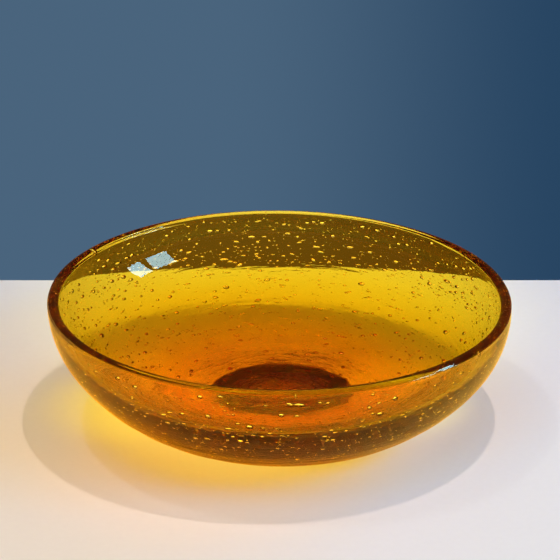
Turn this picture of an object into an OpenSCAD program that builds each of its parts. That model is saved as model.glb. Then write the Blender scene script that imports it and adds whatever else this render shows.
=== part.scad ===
// Shallow mouth-blown bowl in heavy amber bubble glass.
// It stands on an applied foot pad, and a broken-off punty mark is left in the foot's hollow.
// +Z is up. The origin is the centre of the ring that the foot rests on. Millimetres.

/* [Bowl] */
// Outside diameter at the rim
rim_d = 300; // [284:2:316]
// Height from the table to the top of the rim
rim_h = 90; // [88:1:96]
// Thickness of the wall at the rim, whose edge is fire-polished to a full round
rim_wall = 7; // [5:0.5:8]

/* [Outside of the bowl] */
// Radius of the flat underside that the foot is pressed on
seat_r = 64.5; // [62:0.5:67]
// Radius of the heel, the curve where the underside turns up
heel_r = 74; // [68:1:80]
// Slope at which the heel ends and the flank starts, in degrees
heel_slope = 30.5; // [26:0.5:34]
// Slope at which the flank ends and the shoulder starts, in degrees
flank_slope = 54.5; // [50:0.5:60]

/* [Inside of the bowl] */
// Height of the inside floor at its middle
floor_z = 23; // [20:0.5:26]
// Radius of the nearly flat dished floor
dish_r = 640; // [600:10:700]
// Slope at which the floor ends and the turn up into the side starts, in degrees
dish_slope = 7; // [6:0.5:7.5]
// Slope at which the turn ends and the side starts, in degrees
turn_slope = 45; // [40:0.5:50]

/* [Bubbles] */
// Number of large air bubbles in the side
side_bubbles = 72; // [0:1:90]
// Number of large air bubbles in the floor
floor_bubbles = 18; // [0:1:24]
// Radius of the smallest of them
bubble_min_r = 0.8; // [0.6:0.1:1]
// Radius of the largest of them
bubble_max_r = 1.9; // [1.2:0.1:2]

/* [Foot] */
// Radius of the foot pad
foot_r = 50; // [44:0.5:52]
// Height of the foot pad
foot_h = 5.5; // [5:0.25:6.5]
// Radius of the hollow in the foot's underside
hollow_r = 37; // [30:0.5:38]
// Depth of that hollow at its middle
hollow_depth = 3.2; // [2.6:0.1:3.4]
// Radius of the punty mark in the hollow
scar_r = 11; // [8:0.5:14]
// How far the punty mark stands down from the roof of the hollow
scar_h = 1.6; // [1:0.1:2]
// Radius of the pit that the punty left when it broke away
pit_r = 6; // [4:0.5:7]

/* [Hidden] */
// Segments in a full turn of the revolved pieces, of the hollow's roof and of a bubble
$fn = 180;
roof_segments = 900;
bubble_segments = 24;
// Largest turn between two points of a profile arc, and of the lip, in degrees
arc_step = 3;
lip_step = 15;
rim_r = rim_d / 2;
lip_r = rim_wall / 2;
lip_z = rim_h - lip_r;
vertical = 90;

// The end of an arc of radius r that starts at p with slope a and ends with slope b
function arc_end(p, r, a, b) = p + r * [sin(b) - sin(a), cos(a) - cos(b)];
// The radii of two arcs that run from p with slope a, through slope b, and end upright at q
function last_radii(p, a, b, q) =
    let (d = q - p, run = [sin(b) - sin(a), 1 - sin(b)], rise = [cos(a) - cos(b), cos(b)])
    [d.x * rise.y - d.y * run.y, d.y * run.x - d.x * rise.x] / (run.x * rise.y - run.y * rise.x);
// A profile is three arcs, each starting with the slope that the last ended with, and it ends
// upright at q: [starts, radii, slopes]
function three_arcs(p, first_r, slopes, q) =
    let (
        p1 = arc_end(p, first_r, slopes[0], slopes[1]),
        last = last_radii(p1, slopes[1], slopes[2], q),
        p2 = arc_end(p1, last[0], slopes[1], slopes[2])
    )
    [[p, p1, p2], [first_r, last[0], last[1]], slopes];

// Outside: heel, flank and shoulder. Inside: dished floor, turn and side.
outside = three_arcs([seat_r, foot_h], heel_r, [0, heel_slope, flank_slope, vertical], [rim_r, lip_z]);
inside = three_arcs([0, floor_z], dish_r, [0, dish_slope, turn_slope, vertical], [rim_r - rim_wall, lip_z]);

// The point where a profile has slope a
function at_slope(arcs, a) =
    let (i = a < arcs[2][1] ? 0 : a < arcs[2][2] ? 1 : 2) arc_end(arcs[0][i], arcs[1][i], arcs[2][i], a);
// The points of a profile, from its start to just short of its end
function points(arcs) = [
    for (i = [0:2]) let (turn = arcs[2][i + 1] - arcs[2][i], n = ceil(turn / arc_step))
        for (j = [0:n - 1]) at_slope(arcs, arcs[2][i] + turn * j / n)
];
function backwards(list) = [for (i = [len(list) - 1:-1:0]) list[i]];
// The round lip, from the outside of the rim over the top to the inside
lip = [for (a = [0:lip_step:180]) [rim_r - lip_r + lip_r * cos(a), lip_z + lip_r * sin(a)]];

// A repeatable scatter value from 0 to 1, for bubble k and purpose j
function scatter(k, j) = let (v = abs(sin(k * 78.233 + j * 37.719)) * 4375.85) v - floor(v);
function between(low, high, f) = low + (high - low) * f;

// A side bubble lies about midway between the points of equal slope on the two faces
side_slope_low = 12;
side_slope_high = 84;
function side_slope(k) = between(side_slope_low, side_slope_high, scatter(k, 1));
function mid_wall(a, f) = f * at_slope(inside, a) + (1 - f) * at_slope(outside, a);
function side_bubble(k) = mid_wall(side_slope(k), between(0.45, 0.55, scatter(k, 2)));

// A floor bubble lies anywhere in the thick floor, well away from both faces
floor_margin = 4;
function floor_bubble(k) = [
    (seat_r - floor_margin) * sqrt(scatter(k, 4)),
    between(foot_h + floor_margin, floor_z - floor_margin, scatter(k, 5))
];
// Most bubbles are small, and a few are large
function bubble_r(k) = between(bubble_min_r, bubble_max_r, pow(scatter(k, 3), 2));
// Successive bubbles are a golden angle apart round the bowl
golden_angle = 137.508;

module bubbles(first, count, in_side) {
    for (k = [first:first + count - 1]) {
        place = in_side ? side_bubble(k) : floor_bubble(k);
        rotate([0, 0, k * golden_angle]) translate([place.x, 0, place.y])
            sphere(bubble_r(k), $fn = bubble_segments);
    }
}

module bowl_body() {
    color([0.85, 0.52, 0.05, 0.6]) difference() {
        rotate_extrude() polygon(concat([[0, foot_h]], points(outside), lip, backwards(points(inside))));
        bubbles(1, side_bubbles, true);
        bubbles(1 + side_bubbles, floor_bubbles, false);
    }
}

// The roof of the foot's hollow is part of a large circle that is revolved
roof_r = (hollow_r * hollow_r + hollow_depth * hollow_depth) / (2 * hollow_depth);
module under_roof() {
    translate([0, hollow_depth - roof_r]) circle(roof_r, $fn = roof_segments);
}

module foot_pad() {
    edge_r = foot_h / 2;
    color([0.55, 0.25, 0.05, 0.7]) rotate_extrude() difference() {
        union() {
            square([foot_r - edge_r, foot_h]);
            translate([foot_r - edge_r, edge_r]) circle(edge_r);
        }
        under_roof();
    }
}

module punty_mark() {
    pit_floor = hollow_depth - scar_h / 2;
    bottom = hollow_depth - scar_h;
    color([0.4, 0.18, 0.04, 0.8]) rotate_extrude() intersection() {
        under_roof();
        polygon([[0, pit_floor], [pit_r, bottom], [scar_r - scar_h, bottom],
            [scar_r, hollow_depth - scar_h / 3], [scar_r, foot_h], [0, foot_h]]);
    }
}

bowl_body();
foot_pad();
punty_mark();
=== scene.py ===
"""Amber bubble-glass bowl: the looks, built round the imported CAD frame. Metres, +Z up."""

import math

import bmesh
import bpy
import numpy as np
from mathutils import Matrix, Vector


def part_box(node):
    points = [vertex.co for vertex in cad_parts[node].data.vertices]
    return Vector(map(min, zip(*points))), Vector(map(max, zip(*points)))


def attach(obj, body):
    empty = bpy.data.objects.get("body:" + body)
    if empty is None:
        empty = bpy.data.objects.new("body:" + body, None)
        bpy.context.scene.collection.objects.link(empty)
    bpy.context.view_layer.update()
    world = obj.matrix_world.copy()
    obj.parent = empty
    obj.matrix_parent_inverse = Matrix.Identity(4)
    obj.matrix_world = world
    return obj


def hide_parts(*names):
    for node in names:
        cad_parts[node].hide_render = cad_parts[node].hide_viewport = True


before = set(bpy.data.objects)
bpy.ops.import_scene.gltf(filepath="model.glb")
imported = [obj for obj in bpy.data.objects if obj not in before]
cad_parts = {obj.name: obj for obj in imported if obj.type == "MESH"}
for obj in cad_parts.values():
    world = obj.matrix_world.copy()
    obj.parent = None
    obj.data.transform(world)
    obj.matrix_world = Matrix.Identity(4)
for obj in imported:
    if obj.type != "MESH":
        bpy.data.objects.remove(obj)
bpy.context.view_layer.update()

MM = 0.001
TURN = 2 * math.pi
SEED = 7

# ---------------------------------------------------------------- sizes
# from the frame
body_lo, body_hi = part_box("bowl_body")
foot_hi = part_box("foot_pad")[1]
mark_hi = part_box("punty_mark")[1]
RIM_R = body_hi.x
RIM_H = body_hi.z
SEAT_Z = body_lo.z
FOOT_R = foot_hi.x
MARK_R = mark_hi.x

# as in the part's source
RIM_WALL = 7 * MM
LIP_R = RIM_WALL / 2
LIP_Z = RIM_H - LIP_R
SEAT_R = 64.5 * MM
HEEL_R = 74 * MM
OUTSIDE_SLOPES = (0, 30.5, 54.5, 90)
FLOOR_Z = 23 * MM
DISH_R = 640 * MM
INSIDE_SLOPES = (0, 7, 45, 90)
HOLLOW_R = 37 * MM
HOLLOW_DEPTH = 3.2 * MM
PIT_R = 6 * MM
MARK_Z = 1.6 * MM              # height of the punty mark's lowest face

# how finely the surfaces are cut up
BODY_SIDES = 256
FOOT_SIDES = 240
MARK_SIDES = 120
ROW = 2.4 * MM                 # length of a row of faces along a profile
SEAT_ROWS = 7                  # on the flat seat, most of it fused to the foot
LIP_ROWS = 26
FUSED = 0.15 * MM              # how deep fused pieces reach into each other


# ---------------------------------------------------------------- profiles
def arc_end(p, r, a, b):
    """Where an arc of radius r ends that starts at p with slope a and ends with slope b."""
    a, b = math.radians(a), math.radians(b)
    return p[0] + r * (math.sin(b) - math.sin(a)), p[1] + r * (math.cos(a) - math.cos(b))


def last_radii(p, a, b, q):
    """The radii of two arcs from p with slope a, through slope b, that end upright at q."""
    a, b = math.radians(a), math.radians(b)
    dx, dz = q[0] - p[0], q[1] - p[1]
    run = math.sin(b) - math.sin(a), 1 - math.sin(b)
    rise = math.cos(a) - math.cos(b), math.cos(b)
    det = run[0] * rise[1] - run[1] * rise[0]
    return (dx * rise[1] - dz * run[1]) / det, (dz * run[0] - dx * rise[0]) / det


def three_arcs(p, first_r, slopes, q):
    """Three arcs from p to q, each starting with the slope that the last ended with."""
    p1 = arc_end(p, first_r, slopes[0], slopes[1])
    second_r, third_r = last_radii(p1, slopes[1], slopes[2], q)
    p2 = arc_end(p1, second_r, slopes[1], slopes[2])
    return (p, p1, p2), (first_r, second_r, third_r), slopes


def at_slope(arcs, a):
    """The point of three arcs where their slope is a."""
    starts, radii, slopes = arcs
    i = 0 if a < slopes[1] else 1 if a < slopes[2] else 2
    return arc_end(starts[i], radii[i], slopes[i], a)


def rows(arcs):
    """Points along three arcs, about ROW apart, without the last."""
    _, radii, slopes = arcs
    points = []
    for i in range(3):
        turn = slopes[i + 1] - slopes[i]
        count = max(2, round(radii[i] * math.radians(turn) / ROW))
        points += [at_slope(arcs, slopes[i] + turn * j / count) for j in range(count)]
    return points


OUTSIDE = three_arcs((SEAT_R, SEAT_Z), HEEL_R, OUTSIDE_SLOPES, (RIM_R, LIP_Z))
INSIDE = three_arcs((0.0, FLOOR_Z), DISH_R, INSIDE_SLOPES, (RIM_R - RIM_WALL, LIP_Z))


def body_outline():
    """The body's profile, from the axis under the seat round the lip to the axis on the floor."""
    seat = [(SEAT_R * i / SEAT_ROWS, SEAT_Z) for i in range(SEAT_ROWS)]
    turns = [math.pi * i / LIP_ROWS for i in range(LIP_ROWS + 1)]
    lip = [(RIM_R - LIP_R + LIP_R * math.cos(a), LIP_Z + LIP_R * math.sin(a)) for a in turns]
    return seat + rows(OUTSIDE) + lip + rows(INSIDE)[::-1]


# ---------------------------------------------------------------- mesh help
def revolve(outline, sides):
    """The points and faces of a revolved outline whose two ends are on the axis.

    The points come ring by ring, and the two poles are last.
    """
    outline = np.array(outline)
    ring = outline[1:-1]
    angle = np.arange(sides) * TURN / sides
    x = ring[:, :1] * np.cos(angle)
    y = ring[:, :1] * np.sin(angle)
    z = np.repeat(ring[:, 1:], sides, axis=1)
    grid = np.stack([x, y, z], axis=2).reshape(-1, 3)
    poles = [(0, 0, outline[0, 1]), (0, 0, outline[-1, 1])]
    last = len(ring) - 1
    low, high = len(grid), len(grid) + 1
    faces = []
    for j in range(sides):
        k = (j + 1) % sides
        faces.append((low, k, j))
        faces.append((high, last * sides + j, last * sides + k))
        faces += [(i * sides + j, i * sides + k, (i + 1) * sides + k, (i + 1) * sides + j)
                  for i in range(last)]
    return np.vstack([grid, poles]), faces


def leant(points):
    """The small lean of a hand-made bowl: lower to the right, and its foot a little off centre."""
    low_side = 0.0135
    off_centre = 1.5 * MM
    out = points.copy()
    out[:, 2] = points[:, 2] * (1 - low_side * (1 + points[:, 0] / RIM_R))
    out[:, 0] += off_centre * (1 - points[:, 2] / RIM_H)
    return out


def new_object(name, points, faces, material):
    mesh = bpy.data.meshes.new(name)
    mesh.from_pydata(points.tolist(), [], faces)
    mesh.polygons.foreach_set("use_smooth", [True] * len(mesh.polygons))
    mesh.materials.append(material)
    mesh.update()
    piece = bpy.data.objects.new(name, mesh)
    bpy.context.scene.collection.objects.link(piece)
    return piece


def polar(points):
    """Each point's angle round the axis and its distance from it."""
    return np.arctan2(points[:, 1], points[:, 0]), np.hypot(points[:, 0], points[:, 1])


def waves(rng, angle, along, lengths, turns, slope):
    """A sum of random waves over the angle and the distance along, each about slope steep.

    A wave goes up to turns times round the bowl.
    """
    total = np.zeros_like(angle)
    for length in lengths:
        n = rng.integers(-turns, turns + 1)
        height = slope * length / TURN
        total += height * np.cos(n * angle + TURN * along / length + rng.uniform(0, TURN))
    return total


# ---------------------------------------------------------------- bubbles
# the large ones, which the CAD body has as voids, and the formula that scatters them there
SIDE_BUBBLES = 72
FLOOR_BUBBLES = 18
GOLDEN_ANGLE = math.radians(137.508)
SCATTER = (78.233, 37.719, 4375.85)
SIDE_SLOPES = (12, 84)
MID_WALL = (0.45, 0.55)
FLOOR_MARGIN = 4 * MM
LARGE_R_MM = (0.8, 1.9)
WIDEST_FROM = 1.2 * MM         # those of a greater radius get the finest skin
WIDEST_SKIN = (3, 1.5)         # subdivisions, and how far it may be drawn out
OTHER_SKIN = (2, 1.7)

# the others, strewn under the faces of the glass
DOWN_MM = (0.8, 7)             # how far under its face the middle of a bubble lies
SPACING = 1.9                  # the least distance of two middles, in their radii
NEAR_SIDE = -0.35              # the near side is where the angle's sine is less
KEPT_NEAR = 3                  # one in so many stays there
SLOPE_STEPS = 181              # of the table that strews them evenly
TRIES = 3                      # places tried for each one that is wanted

# every bubble's shape, beside radius
SHORTEST = 1.1
SQUASH = (0.75, 0.95)
TILT = 0.12

# Each kind that is strewn, in order: how many, the least and the greatest radius in mm, the power
# that makes small ones commoner, and the least glass over one in mm. under keeps a kind under one
# face, between two slopes. skin and longest are the subdivisions of its skin and how far it may
# be drawn out.
STREWN = (
    dict(count=270, radii=(0.80, 1.35), power=1.2, cover=0.25, under=(INSIDE, (52, 87)),
         fewer=True, skin=2, longest=3.0),
    dict(count=300, radii=(0.85, 1.65), power=1.2, cover=0.30, under=None,
         fewer=False, skin=2, longest=1.8),
    dict(count=640, radii=(0.38, 0.75), power=1.3, cover=0.25, under=(OUTSIDE, (12, 70)),
         fewer=False, skin=1, longest=5.5),
    dict(count=780, radii=(0.40, 0.62), power=1.2, cover=0.25, under=(INSIDE, (50, 88)),
         fewer=True, skin=1, longest=3.2),
    dict(count=760, radii=(0.36, 0.62), power=1.2, cover=0.25, under=None,
         fewer=False, skin=1, longest=3.2),
    dict(count=2600, radii=(0.22, 0.34), power=1.2, cover=0.25, under=None,
         fewer=False, skin=0, longest=3.6),
)


def scatter(k, j):
    v = abs(math.sin(math.radians(k * SCATTER[0] + j * SCATTER[1]))) * SCATTER[2]
    return v - math.floor(v)


def between(low, high, f):
    return low + (high - low) * f


def large_bubbles():
    """The CAD body's bubbles: (distance from the axis, height, angle, radius)."""
    found = []
    for k in range(1, SIDE_BUBBLES + FLOOR_BUBBLES + 1):
        if k <= SIDE_BUBBLES:
            slope = between(*SIDE_SLOPES, scatter(k, 1))
            f = between(*MID_WALL, scatter(k, 2))
            inner, outer = at_slope(INSIDE, slope), at_slope(OUTSIDE, slope)
            place = [f * inner[i] + (1 - f) * outer[i] for i in range(2)]
        else:
            place = [(SEAT_R - FLOOR_MARGIN) * math.sqrt(scatter(k, 4)),
                     between(SEAT_Z + FLOOR_MARGIN, FLOOR_Z - FLOOR_MARGIN, scatter(k, 5))]
        radius = between(*LARGE_R_MM, scatter(k, 3) ** 2) * MM
        found.append((place[0], place[1], (k * GOLDEN_ANGLE) % TURN, radius))
    return found


def depth_in_wall(outline, r, z):
    """How far each point (r, z) lies inside the outline; below 0 outside."""
    a = np.array(outline)
    b = np.roll(a, -1, axis=0)
    px, pz = r[:, None], z[:, None]
    d = b - a
    t = (px - a[:, 0]) * d[:, 0] + (pz - a[:, 1]) * d[:, 1]
    t = np.clip(t / np.maximum((d ** 2).sum(1), 1e-18), 0, 1)
    gap = np.hypot(px - a[:, 0] - t * d[:, 0], pz - a[:, 1] - t * d[:, 1])
    on_axis = (a[:, 0] < 1e-9) & (b[:, 0] < 1e-9)
    gap[:, on_axis] = 1
    crosses = (a[:, 1] > pz) != (b[:, 1] > pz)
    rise = np.where(d[:, 1] == 0, 1e-12, d[:, 1])
    inside = (crosses & (px < a[:, 0] + (pz - a[:, 1]) / rise * d[:, 0])).sum(1) % 2 == 1
    return np.where(inside, gap.min(1), -gap.min(1))


def under_surface(rng, arcs, count, slopes=(0, 90)):
    """Places strewn evenly over the revolved surface of three arcs, and the way into the glass."""
    slopes = np.linspace(*slopes, SLOPE_STEPS)
    line = np.array([at_slope(arcs, slope) for slope in slopes])
    area = np.linalg.norm(np.diff(line, axis=0), axis=1) * (line[1:, 0] + line[:-1, 0])
    total = np.concatenate([[0], np.cumsum(area)])
    slope = np.interp(rng.uniform(0, total[-1], count), total, slopes)
    r = np.interp(slope, slopes, line[:, 0])
    z = np.interp(slope, slopes, line[:, 1])
    lean = np.radians(slope)
    into = 1 if arcs is INSIDE else -1
    return r, z, into * np.sin(lean), -into * np.cos(lean)


def more_bubbles(rng, outline, taken, kind):
    """Bubbles of a kind, inside the glass and clear of those taken."""
    count, cover = kind["count"], kind["cover"] * MM
    low, high = (radius * MM for radius in kind["radii"])
    centres = [np.array([r * math.cos(a), r * math.sin(a), z]) for r, z, a, _ in taken]
    radii = [b[3] for b in taken]
    found = []
    tries = count * TRIES
    if kind["under"]:
        arcs, slopes = kind["under"]
        sides = [under_surface(rng, arcs, tries, slopes)]
    else:
        sides = [under_surface(rng, INSIDE, tries), under_surface(rng, OUTSIDE, tries // 2)]
    r, z, step_r, step_z = (np.concatenate(both) for both in zip(*sides))
    order = rng.permutation(len(r))
    r, z, step_r, step_z = r[order], z[order], step_r[order], step_z[order]
    down = rng.uniform(*DOWN_MM, len(r)) * MM
    r, z = r + step_r * down, z + step_z * down
    angle = rng.uniform(0, TURN, len(r))
    radius = low + (high - low) * rng.uniform(0, 1, len(r)) ** kind["power"]
    depth = depth_in_wall(outline, r, z)
    for i in np.flatnonzero(depth > radius + cover):
        centre = np.array([r[i] * math.cos(angle[i]), r[i] * math.sin(angle[i]), z[i]])
        gap = np.linalg.norm(np.array(centres) - centre, axis=1) - SPACING * np.array(radii)
        if (gap < SPACING * radius[i]).any():
            continue
        centres.append(centre)
        radii.append(radius[i])
        found.append((r[i], z[i], angle[i], radius[i]))
        if len(found) == count:
            break
    if kind["fewer"]:
        found = [b for i, b in enumerate(found)
                 if i % KEPT_NEAR == 0 or math.sin(b[2]) > NEAR_SIDE]
    return found


def ball(subdivisions):
    """A round of 20 faces or more, or of 8 where subdivisions is 0."""
    bm = bmesh.new()
    if subdivisions:
        bmesh.ops.create_icosphere(bm, subdivisions=subdivisions, radius=1)
    else:
        corners = ((1, 0, 0), (0, 1, 0), (-1, 0, 0), (0, -1, 0), (0, 0, 1), (0, 0, -1))
        tips = [bm.verts.new(p) for p in corners]
        for i in range(4):
            bm.faces.new((tips[i], tips[(i + 1) % 4], tips[4]))
            bm.faces.new((tips[(i + 1) % 4], tips[i], tips[5]))
        bm.verts.index_update()
    points = np.array([v.co for v in bm.verts])
    faces = [[v.index for v in f.verts] for f in bm.faces]
    bm.free()
    return points, faces


def cavities(rng, bubbles, subdivisions, longest, first):
    """The inward-facing skins of the bubbles, drawn out round the bowl as it was spun.

    first is the number of the first point.
    """
    points, faces = ball(subdivisions)
    up = np.array([0, 0, 1])
    all_points, all_faces = [], []
    for n, (r, z, angle, radius) in enumerate(bubbles):
        out = np.array([math.cos(angle), math.sin(angle), 0])
        sideways = np.array([-math.sin(angle), math.cos(angle), 0])
        stretch = rng.uniform(SHORTEST, longest)
        squash = rng.uniform(*SQUASH)
        tilt = rng.normal(0, TILT)
        along = sideways * math.cos(tilt) + up * math.sin(tilt)
        across = up * math.cos(tilt) - sideways * math.sin(tilt)
        local = points * radius
        all_points.append(out * r + up * z + local[:, :1] * out * squash
                          + local[:, 1:2] * along * stretch + local[:, 2:3] * across * squash)
        start = first + n * len(points)
        all_faces += [[start + i for i in reversed(f)] for f in faces]
    return np.vstack(all_points), all_faces


# ---------------------------------------------------------------- node help
def cleared(owner):
    owner.use_nodes = True
    owner.node_tree.nodes.clear()
    return owner.node_tree


def node(tree, kind, inputs=(), **settings):
    made = tree.nodes.new(kind)
    for name, value in settings.items():
        setattr(made, name, value)
    for name, value in dict(inputs).items():
        if isinstance(value, bpy.types.NodeSocket):
            tree.links.new(value, made.inputs[name])
        else:
            made.inputs[name].default_value = value
    return made


def calc(tree, operation, *values, clamp=False):
    return node(tree, "ShaderNodeMath", dict(enumerate(values)), operation=operation,
                use_clamp=clamp).outputs["Value"]


def vector(tree, operation, *values, out="Vector"):
    return node(tree, "ShaderNodeVectorMath", dict(enumerate(values)),
                operation=operation).outputs[out]


def split(tree, place):
    """The X, Y and Z of a vector, as a node with these outputs."""
    return node(tree, "ShaderNodeSeparateXYZ", {"Vector": place})


def ramp(tree, value, low, high):
    """0 below low, 1 above high and smooth between."""
    return node(tree, "ShaderNodeMapRange", {"Value": value, "From Min": low, "From Max": high},
                interpolation_type="SMOOTHSTEP").outputs["Result"]


def mix(tree, factor, first, second):
    """The first colour where factor is 0 and the second where it is 1."""
    return node(tree, "ShaderNodeMix", {0: factor, 6: first, 7: second},
                data_type="RGBA").outputs[2]


def mirrored(tree):
    """1 for what is seen in a mirror reflection, 0 for what is seen directly or through glass."""
    ray = node(tree, "ShaderNodeLightPath")
    return calc(tree, "SUBTRACT", ray.outputs["Is Glossy Ray"], ray.outputs["Is Transmission Ray"],
                clamp=True)


# ---------------------------------------------------------------- materials
IOR = 1.50
SHINE = (0.90, 0.70, 0.50, 1)  # amber glass, so what it mirrors head-on is warm too
CORD_TURN = 0.016              # how far a way round the bowl moves the noise of its cords
CORDS_FADE = (0.030, 0.060)    # the heights between which they fade
CORDS_ABOVE = 0.025            # and what is left of them above
CORD_HEIGHT = 0.0005
SMUDGE_SCALE = 38.0
SMUDGED = (0.35, 0.75)         # the noise that gives the least and the greatest roughness
DENSER = 1.1                   # absorption over the greatest absorbed, to keep colours above 0

TABLE_COLOURS = ((0.80, 0.775, 0.74, 1), (0.83, 0.805, 0.77, 1))
TABLE_GRAIN = 220.0
TABLE_ROUGH = 0.62
ASIDE = (0.03, 0.17)           # from the middle of the table out to its sides
# painted reflection: the table's colours in the glass's mirror reflections, painted amber in the
# middle and at the sides
PAINTED_TABLE_REFLECTION = ((0.80, 0.47, 0.11, 1), (1.40, 0.84, 0.14, 1))


def drawn_round(tree, place):
    """A place to read noise at that changes slowly round the bowl and quickly up its profile."""
    flat = vector(tree, "MULTIPLY", place, (1, 1, 0))
    outward = vector(tree, "NORMALIZE", flat)
    slow = vector(tree, "MULTIPLY", outward, (CORD_TURN, CORD_TURN, 0))
    reach = vector(tree, "LENGTH", flat, out="Value")
    along = calc(tree, "ADD", reach, split(tree, place).outputs["Z"])
    lift = node(tree, "ShaderNodeCombineXYZ", {"Z": along})
    return vector(tree, "ADD", slow, lift.outputs["Vector"])


def glass(name, absorbed, rough, bump, bump_scale):
    """Tinted glass. absorbed is what a metre of it takes off red, green and blue."""
    material = bpy.data.materials.new(name)
    tree = cleared(material)
    place = node(tree, "ShaderNodeTexCoord").outputs["Object"]
    cords = node(tree, "ShaderNodeTexNoise", {
        "Vector": drawn_round(tree, place), "Scale": bump_scale, "Detail": 3.0, "Distortion": 0.4})
    smudge = node(tree, "ShaderNodeTexNoise",
                  {"Vector": place, "Scale": SMUDGE_SCALE, "Detail": 5.0})
    roughness = node(tree, "ShaderNodeMapRange", {
        "Value": smudge.outputs["Fac"], "From Min": SMUDGED[0], "From Max": SMUDGED[1],
        "To Min": rough[0], "To Max": rough[1]})
    low = node(tree, "ShaderNodeMapRange", {
        "Value": split(tree, place).outputs["Z"], "From Min": CORDS_FADE[0],
        "From Max": CORDS_FADE[1], "To Min": 1.0, "To Max": CORDS_ABOVE})
    height = calc(tree, "MULTIPLY", cords.outputs["Fac"], low.outputs["Result"])
    relief = node(tree, "ShaderNodeBump",
                  {"Height": height, "Strength": bump, "Distance": CORD_HEIGHT})
    shader = node(tree, "ShaderNodeBsdfPrincipled", {
        "Base Color": (1, 1, 1, 1), "Transmission Weight": 1.0, "IOR": IOR,
        "Specular Tint": SHINE, "Roughness": roughness.outputs["Result"],
        "Normal": relief.outputs["Normal"]})
    density = max(absorbed) * DENSER
    colour = [1 - a / density for a in absorbed]
    tint = node(tree, "ShaderNodeVolumeAbsorption", {"Color": (*colour, 1), "Density": density})
    node(tree, "ShaderNodeOutputMaterial",
         {"Surface": shader.outputs["BSDF"], "Volume": tint.outputs["Volume"]})
    return material


def table_top():
    material = bpy.data.materials.new("table_top")
    tree = cleared(material)
    place = node(tree, "ShaderNodeTexCoord").outputs["Object"]
    grain = node(tree, "ShaderNodeTexNoise",
                 {"Vector": place, "Scale": TABLE_GRAIN, "Detail": 4.0})
    colour = mix(tree, grain.outputs["Fac"], *TABLE_COLOURS)
    # painted reflection: the glass mirrors a table painted warmer, as if lit by the amber light
    # that the bowl gathers, and more so at the sides
    aside = calc(tree, "ABSOLUTE", split(tree, place).outputs["X"])
    gathered = mix(tree, ramp(tree, aside, *ASIDE), *PAINTED_TABLE_REFLECTION)
    shader = node(tree, "ShaderNodeBsdfPrincipled", {
        "Base Color": mix(tree, mirrored(tree), colour, gathered), "Roughness": TABLE_ROUGH,
        "Specular IOR Level": 0.0})
    node(tree, "ShaderNodeOutputMaterial", {"Surface": shader.outputs["BSDF"]})
    return material


# ---------------------------------------------------------------- pieces
# Waves are given by the shortest and the longest in mm and how many, or by their lengths, and
# then by the most times that one goes round the bowl and how steep one is.
SHORT_WAVES, SHORT_SHAPE = (8, 16, 14), (9, 0.018)
LONG_WAVES, LONG_SHAPE = (22, 60, 10), (4, 0.008)
WAVES_END = 50 * MM            # they fade towards this height, over WAVES_FADE
WAVES_FADE = 32 * MM
WAVES_ABOVE = 0.07             # and this much is left of them above
LIP_FADE = 10 * MM             # until they fade out over this much below the lip
HEEL_ROWS = 6                  # and they fade in over these rows beside the seat
LIP_RIDGES, LIP_SHAPE = [1.9 * MM, 2.6 * MM, 3.7 * MM], (2, 0.25)
LIP_RIDGED = 4 * MM            # how far up and down the lip its ridges reach

RINGS = ((0.30, 5.8 * MM, 0), (0.06, 3.1 * MM, 1))  # height in mm, spacing and shift
RINGS_FROM = 0.9               # the foot's tool rings start here, in radii of the punty mark,
RING_FADE = 4 * MM             # and fade over this at both ends
HOLLOW_ROWS = 90
HOLLOW_LEAST = 0.02 * MM       # the roof of the hollow is nowhere lower
REST_ROUND = 1.2 * MM          # width and height of the round at the hollow's edge
REST_RISE = 0.25 * MM
REST_ROWS = 4
EDGE_ROWS = 16
FOOT_ROWS = 12
EDGE_LOBES, EDGE_SHAPE = [8 * MM] * 5, (5, 0.05)

PIT_DEPTH = 0.8 * MM
PIT_ROWS = 10
MARK_EDGE = 1.6 * MM           # width and height of the round at the mark's edge
MARK_EDGE_RISE = 1.2 * MM
MARK_EDGE_TURNS = (0.2, math.pi / 2, 7)  # where on the round its first and last row are
MARK_ROWS = 6
MARK_TOP_ROWS = 8
MARK_SCALE = 0.93              # keeps its uneven outline about within the CAD's circle
CHIPS, CHIP_SHAPE = (1.2, 4, 16), (7, 0.10)
CHIP_LIMIT = 0.5 * MM


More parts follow.
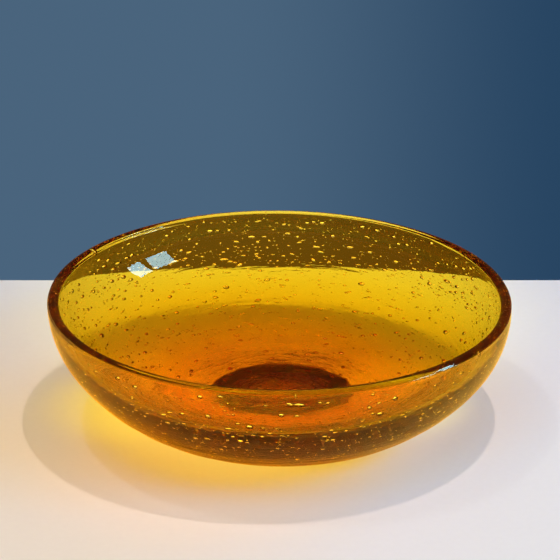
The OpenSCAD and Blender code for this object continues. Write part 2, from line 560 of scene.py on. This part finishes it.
def make_body(material):
    rng = np.random.default_rng(SEED)
    outline = body_outline()
    points, faces = revolve(outline, BODY_SIDES)
    ring = np.array(outline[1:-1])
    z = ring[:, 1]
    # ripples stand out along the profile's normal, and fade at the lip and on the seat
    step = np.gradient(ring, axis=0)
    normal = np.stack([step[:, 1], -step[:, 0]], axis=1)
    normal /= np.linalg.norm(normal, axis=1)[:, None]
    lengths = np.linalg.norm(np.diff(ring, axis=0), axis=1)
    along = np.concatenate([[0], np.cumsum(lengths)])
    wall = SEAT_ROWS - 1       # the first row beside the seat
    fade = np.clip((WAVES_END - z) / WAVES_FADE, WAVES_ABOVE, 1)
    fade *= np.clip((LIP_Z - z) / LIP_FADE, 0, 1)
    fade[:wall] = 0
    fade[wall:wall + HEEL_ROWS] *= np.linspace(0, 1, HEEL_ROWS)
    angle = np.repeat((np.arange(BODY_SIDES) * TURN / BODY_SIDES)[None], len(ring), axis=0)
    far = np.repeat(along[:, None], BODY_SIDES, axis=1)
    short = rng.uniform(*SHORT_WAVES) * MM
    long_ = rng.uniform(*LONG_WAVES) * MM
    height = waves(rng, angle, far, short, *SHORT_SHAPE)
    height += waves(rng, angle, far, long_, *LONG_SHAPE)
    ridged = np.exp(-((z - LIP_Z) / LIP_RIDGED) ** 2) * (along > 0)
    ridges = waves(rng, angle, far, LIP_RIDGES, *LIP_SHAPE)
    shift = (height * fade[:, None] + ridges * ridged[:, None]).reshape(-1)
    angle = angle.reshape(-1)
    out = np.repeat(normal[:, 0], BODY_SIDES)
    up = np.repeat(normal[:, 1], BODY_SIDES)
    points[:-2] += np.stack([out * np.cos(angle), out * np.sin(angle), up],
                            axis=1) * shift[:, None]
    points[-1, 2] = points[-2 - BODY_SIDES:-2, 2].mean()

    taken = large_bubbles()
    kinds = [([b for b in taken if b[3] > WIDEST_FROM], *WIDEST_SKIN),
             ([b for b in taken if b[3] <= WIDEST_FROM], *OTHER_SKIN)]
    for kind in STREWN:
        found = more_bubbles(rng, outline, taken, kind)
        taken += found
        kinds.append((found, kind["skin"], kind["longest"]))
    for bubbles, subdivisions, longest in kinds:
        skin, skin_faces = cavities(rng, bubbles, subdivisions, longest, len(points))
        points = np.vstack([points, skin])
        faces += skin_faces
    return new_object("bowl_body_glass", leant(points), faces, material)


def make_foot(material):
    rng = np.random.default_rng(SEED + 1)
    edge = SEAT_Z / 2
    top = SEAT_Z + FUSED
    roof_r = (HOLLOW_R ** 2 + HOLLOW_DEPTH ** 2) / (2 * HOLLOW_DEPTH)

    def roof(r):
        return HOLLOW_DEPTH - roof_r + math.sqrt(roof_r ** 2 - r ** 2)

    def ring_marks(r):
        """Tool rings in the hollow, between the punty mark and the resting ring."""
        fade = min(1, max(0, (HOLLOW_R - r) / RING_FADE))
        fade *= min(1, max(0, (r - RINGS_FROM * MARK_R) / RING_FADE))
        return fade * sum(h * math.sin(TURN * r / spacing + shift)
                          for h, spacing, shift in RINGS) * MM

    reaches = [HOLLOW_R * i / HOLLOW_ROWS for i in range(HOLLOW_ROWS)]
    hollow = [(r, max(HOLLOW_LEAST, roof(r) + ring_marks(r))) for r in reaches]
    ring_round = [(HOLLOW_R + REST_ROUND * i / REST_ROWS, REST_RISE * (1 - i / REST_ROWS) ** 2)
                  for i in range(REST_ROWS + 1)]
    rounding = [(FOOT_R - edge + edge * math.sin(a), edge - edge * math.cos(a))
                for a in np.linspace(0, math.pi, EDGE_ROWS + 1)]
    rounding[-1] = (rounding[-1][0], top)
    top_rows = [((FOOT_R - edge) * (1 - i / FOOT_ROWS), top) for i in range(1, FOOT_ROWS + 1)]
    points, faces = revolve(hollow + ring_round + rounding + top_rows, FOOT_SIDES)
    # the pad was pressed on by hand, so its edge isn't a true circle
    angle, reach = polar(points)
    lobes = waves(rng, angle, np.zeros_like(angle), EDGE_LOBES, *EDGE_SHAPE)
    lobes *= np.clip(reach / FOOT_R, 0, 1) ** 4
    lobes -= lobes.max()
    points[:, :2] *= (1 + lobes / np.maximum(reach, MM))[:, None]
    return new_object("foot_pad_glass", leant(points), faces, material)


def make_mark(material):
    rng = np.random.default_rng(SEED + 2)
    top = HOLLOW_DEPTH + FUSED
    flat_r = MARK_R - MARK_EDGE
    outline = [(0, MARK_Z + PIT_DEPTH)]
    outline += [(PIT_R * i / PIT_ROWS, MARK_Z + PIT_DEPTH * (1 - (i / PIT_ROWS) ** 2))
                for i in range(1, PIT_ROWS + 1)]
    outline += [(PIT_R + (flat_r - PIT_R) * i / MARK_ROWS, MARK_Z)
                for i in range(1, MARK_ROWS + 1)]
    outline += [(flat_r + MARK_EDGE * math.sin(a), MARK_Z + MARK_EDGE_RISE * (1 - math.cos(a)))
                for a in np.linspace(*MARK_EDGE_TURNS)]
    outline += [(MARK_R * (1 - i / MARK_TOP_ROWS), top) for i in range(MARK_TOP_ROWS + 1)]
    points, faces = revolve(outline, MARK_SIDES)
    # a broken face: ridges and shell-like chips, softened by grinding
    angle, reach = polar(points)
    rough = waves(rng, angle, reach, rng.uniform(*CHIPS) * MM, *CHIP_SHAPE)
    low = points[:, 2] < top - CHIP_LIMIT
    points[low, 2] += np.clip(rough[low], -CHIP_LIMIT, CHIP_LIMIT)
    uneven = (1 + 0.05 * np.sin(3 * angle + 1) + 0.03 * np.sin(7 * angle)) * MARK_SCALE
    points[:, :2] *= uneven[:, None]
    return new_object("punty_mark_glass", leant(points), faces, material)


# ---------------------------------------------------------------- stage
TABLE_EDGE = 232 * MM
TABLE_REACH = 3.0
TABLE_THICK = 0.035
TABLE_BEVEL = 0.0008

# the room. Its colours give way to each other between two values of the way's X, Y or Z.
WALL_COLOURS = ((0.068, 0.128, 0.205, 1), (0.020, 0.058, 0.120, 1))  # left and right
WALL_SIDES = (-0.03, 0.13)
ROOM_ABOVE = (0.05, 0.045, 0.04, 1)
ABOVE = (0.1, 0.5)
SEEN_THROUGH = (0.60, 0.45, 0.30)
VEIL = (0.078, 0.032, 0.0)
CEILING = (5.0, 4.6, 3.8, 1)
CEILING_FROM = (0.10, 0.40)
BENT_FROM = 3.5                # the ceiling is seen through 4 surfaces or more
MIRRORED_ROOM = ((1.0, 0.29, 0.03, 1), (0.16, 0.06, 0.02, 1))  # round the camera, and behind
BEHIND = (-0.3, 0.5)


def make_table():
    bm = bmesh.new()
    bmesh.ops.create_cube(bm, size=1)
    for v in bm.verts:
        v.co.x *= 2 * TABLE_REACH
        v.co.y = TABLE_EDGE if v.co.y > 0 else -TABLE_REACH
        v.co.z = 0 if v.co.z > 0 else -TABLE_THICK
    bmesh.ops.bevel(bm, geom=list(bm.edges), offset=TABLE_BEVEL, segments=3, affect="EDGES",
                    profile=0.5)
    mesh = bpy.data.meshes.new("table")
    bm.to_mesh(mesh)
    bm.free()
    mesh.materials.append(table_top())
    table = bpy.data.objects.new("table", mesh)
    bpy.context.scene.collection.objects.link(table)
    return table


def make_world():
    world = bpy.data.worlds.new("room")
    bpy.context.scene.world = world
    tree = cleared(world)
    way = split(tree, node(tree, "ShaderNodeTexCoord").outputs["Generated"]).outputs
    ray = node(tree, "ShaderNodeLightPath").outputs
    wall = mix(tree, ramp(tree, way["X"], *WALL_SIDES), *WALL_COLOURS)
    room = mix(tree, ramp(tree, way["Z"], *ABOVE), wall, ROOM_ABOVE)
    # through the glass the wall is veiled by the light that its seeds scatter
    dimmed = vector(tree, "MULTIPLY_ADD", room, SEEN_THROUGH, VEIL)
    # and the ceiling is pale, which only the bubbles bend into view
    up = ramp(tree, way["Z"], *CEILING_FROM)
    bent = calc(tree, "GREATER_THAN", ray["Transmission Depth"], BENT_FROM)
    direct = calc(tree, "SUBTRACT", bent, ray["Diffuse Depth"], clamp=True)
    lit = mix(tree, calc(tree, "MULTIPLY", up, direct), dimmed, CEILING)
    veiled = mix(tree, ray["Is Transmission Ray"], room, lit)
    # the room round the camera, which the glass mirrors, is warm, and dark behind the bowl
    warm = mix(tree, ramp(tree, way["Y"], *BEHIND), *MIRRORED_ROOM)
    shown = mix(tree, mirrored(tree), veiled, warm)
    background = node(tree, "ShaderNodeBackground", {"Color": shown, "Strength": 1.0})
    node(tree, "ShaderNodeOutputWorld", {"Surface": background.outputs["Background"]})


# ---------------------------------------------------------------- lamps
PASSED = (0.88, 0.52, 0.02)    # the share of red, green and blue that the bowl lets through
STOPPED = [1 - p for p in PASSED]
FAR = 2.5                      # how far off the soft lamps and the panes are
OVERHEAD = 2.2                 # and the lamps that throw crisp shadows
SPOT_R = 0.012
FIRST_MIRROR = 2.5             # a lamp's ray depth is less only in the first mirror reflection
KEY_LEAN = (14.5, -7.3)        # sideways and forwards, in mm over the height of the rim

# soft daylight from the right, and weaker light from the front:
# name, azimuth and elevation, size, power, colour
SOFT = (
    ("daylight", (-25, 33), (1.3, 0.9), 33, (0.74, 0.90, 1)),
    ("sky", (35, 20), (1.8, 0.7), 43, (0.33, 0.56, 1)),
    ("front", (-100, 62), (1.4, 1.0), 16.8, (0.70, 0.66, 0.80)),
    ("left", (-130, 20), (1.0, 0.7), 18, (0.90, 1, 0.55)),
)
# two lamps nearly overhead, each with a crisp faint shadow: name, lean, power, colour
CRISP = (
    ("key", KEY_LEAN, 10.4, (1, 0.77, 0.62)),
    ("second", (-28.0, -4.3), 3.3, (0.94, 0.97, 1)),
)
CRISP_SIZE = (0.03, 0.03)
# the light that the wall gathers under the bowl:
# name, way to the lamp, distance, angle, power, colour, where on the table
GATHERED = (
    ("gathered_right", (0, 0, 1), 0.5, 13, 4.5, (1, 0.85, 0.0), (0.078, 0.02, 0)),
    ("gathered_left", (0, 0, 1), 0.5, 16, 3, (1, 0.75, 0.0), (-0.10, 0.02, 0)),
    ("gathered_front", (0, -0.1, 1), 0.6, 24, 2.0, (1, 0.26, 0.0), (-0.045, -0.075, 0)),
    ("gathered_wide", (0, 0, 1), 0.6, 26, 8, (1, 0.70, 0.04), (-0.01, 0.02, 0)),
)
# two window panes, seen in the inner wall and along the rim:
# name, azimuth and elevation, size, power
PANES = (
    ("pane_a", (-2.0, 22), (0.40, 0.85), 24),
    ("pane_b", (-17.5, 22), (0.58, 0.85), 34),
)
PANE_COLOUR = (0.26, 0.66, 1.0)


def direction(azimuth, elevation):
    """Towards azimuth, in degrees from +X towards +Y, and elevation."""
    a, e = math.radians(azimuth), math.radians(elevation)
    return Vector((math.cos(a) * math.cos(e), math.sin(a) * math.cos(e), math.sin(e)))


def leaning(lean):
    """Towards a lamp nearly overhead."""
    return Vector((lean[0], lean[1], RIM_H / MM)).normalized()


def placed(data, towards, distance, power, colour, aim):
    """A new lamp that points at aim from the way towards."""
    data.energy = power
    data.color = colour
    lamp = bpy.data.objects.new(data.name, data)
    bpy.context.scene.collection.objects.link(lamp)
    lamp.location = Vector(aim) + towards * distance
    lamp.rotation_mode = "QUATERNION"
    lamp.rotation_quaternion = towards.to_track_quat("Z", "Y")
    return lamp


def area_light(name, towards, distance, size, power, colour, aim=(0, 0, 0.04)):
    data = bpy.data.lights.new(name, "AREA")
    data.shape = "RECTANGLE"
    data.size, data.size_y = size
    return placed(data, towards, distance, power, colour, aim)


def spot_light(name, towards, distance, angle, power, colour, aim):
    data = bpy.data.lights.new(name, "SPOT")
    data.spot_size = math.radians(angle)
    data.spot_blend = 1.0
    data.shadow_soft_size = SPOT_R
    return placed(data, towards, distance, power, colour, aim)


def only_lights(lamp):
    """The lamp lights surfaces, and isn't seen in or through the glass."""
    lamp.visible_glossy = False
    lamp.visible_transmission = False


def blocked_by(lamp, objects):
    """Only these objects throw a shadow in the lamp's light."""
    group = bpy.data.collections.new(lamp.name + "_blockers")
    for o in objects:
        group.objects.link(o)
    lamp.light_linking.blocker_collection = group


def through_amber(name, towards, size, power, colour, opaque):
    """One soft lamp in two halves: what the glass would absorb, and the rest, which it passes."""
    for half, share in (("passed", PASSED), ("stopped", STOPPED)):
        tinted = [c * s for c, s in zip(colour, share)]
        lamp = area_light(f"{name}_{half}", towards, FAR, size, power, tinted)
        only_lights(lamp)
        if half == "passed":
            blocked_by(lamp, opaque)


def only_reflected(name, towards, size, power, colour):
    """A lamp that is seen only as a reflection, and only in the first surface that mirrors it."""
    lamp = area_light(name, towards, FAR, size, power, colour)
    lamp.visible_diffuse = False
    lamp.visible_transmission = False
    tree = cleared(lamp.data)
    ray = node(tree, "ShaderNodeLightPath")
    first = calc(tree, "LESS_THAN", ray.outputs["Ray Depth"], FIRST_MIRROR)
    emission = node(tree, "ShaderNodeEmission", {"Strength": first})
    node(tree, "ShaderNodeOutputLight", {"Surface": emission.outputs["Emission"]})


def make_lights(table, foot, mark):
    opaque = (table, foot, mark)
    for name, way, size, power, colour in SOFT:
        through_amber(name, direction(*way), size, power, colour, opaque)
    for name, lean, power, colour in CRISP:
        only_lights(area_light(name, leaning(lean), OVERHEAD, CRISP_SIZE, power, colour))
    # one of the gathered lights is soft
    glow = area_light("gathered", Vector((-0.1, -0.1, 1)).normalized(), 0.30, (0.10, 0.10), 0.20,
                      (1, 0.24, 0.0), aim=(-0.075, -0.055, 0))
    only_lights(glow)
    blocked_by(glow, opaque)
    for name, way, distance, angle, power, colour, aim in GATHERED:
        lamp = spot_light(name, Vector(way).normalized(), distance, angle, power, colour, aim)
        only_lights(lamp)
        blocked_by(lamp, opaque)
    # a beam on the table behind the bowl, stopped by the bowl as the key is
    beam = spot_light("behind", leaning(KEY_LEAN), OVERHEAD, 11.2, 78, (1, 1, 0.35),
                      aim=(0, 0.18, 0))
    only_lights(beam)
    # what the bowl passes down into the foot's hollow
    hollow = spot_light("hollow", Vector((0, 0, 1)), 0.5, 7.6, 10, (1, 0.46, 0.02),
                        aim=(0.0015, 0, 0))
    only_lights(hollow)
    blocked_by(hollow, (table,))
    for name, way, size, power in PANES:
        only_reflected(name, direction(*way), size, power, PANE_COLOUR)


# ---------------------------------------------------------------- camera
LENS = 156.9
SHIFT_X = 0.001
CAMERA_ELEVATION = math.radians(24.80)
CAMERA_PITCH = math.radians(22.89)
CAMERA_DISTANCE = 1.6
CAMERA_AIM_Z = 0.040


def make_camera():
    data = bpy.data.cameras.new("camera")
    data.sensor_width = 36
    data.lens = LENS
    data.shift_x = SHIFT_X
    camera = bpy.data.objects.new("camera", data)
    bpy.context.scene.collection.objects.link(camera)
    camera.location = (0, -CAMERA_DISTANCE * math.cos(CAMERA_ELEVATION),
                       CAMERA_AIM_Z + CAMERA_DISTANCE * math.sin(CAMERA_ELEVATION))
    camera.rotation_euler = (math.pi / 2 - CAMERA_PITCH, 0, 0)
    bpy.context.scene.camera = camera


# ---------------------------------------------------------------- the scene
make_camera()
make_world()
table = make_table()

# name, absorbed, roughness, bump, scale of the bump
amber = glass("bowl_glass", (12, 51, 420), (0.0, 0.006), 0.8, 330)
# the foot's glass absorbs more per metre than the bowl's, which adds painted shade to the foot
# where it sits under the bowl; the rest of its darkness is its thickness
foot_amber = glass("foot_glass", (135, 245, 400), (0.0, 0.05), 0.35, 330)
mark_amber = glass("punty_glass", (25, 90, 320), (0.08, 0.30), 0.6, 260)

body = make_body(amber)
foot = make_foot(foot_amber)
mark = make_mark(mark_amber)
for piece, cad_node, slot in ((body, "bowl_body", "bowl_glass"), (foot, "foot_pad", "foot_glass"),
                              (mark, "punty_mark", "punty_glass")):
    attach(piece, "root")
    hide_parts(cad_node)

make_lights(table, foot, mark)

scene = bpy.context.scene
scene.view_settings.view_transform = "Standard"
# enough for a way through both walls and the bubbles in them
scene.cycles.max_bounces = 24
scene.cycles.transmission_bounces = 20
scene.cycles.glossy_bounces = 8
scene.cycles.volume_bounces = 2
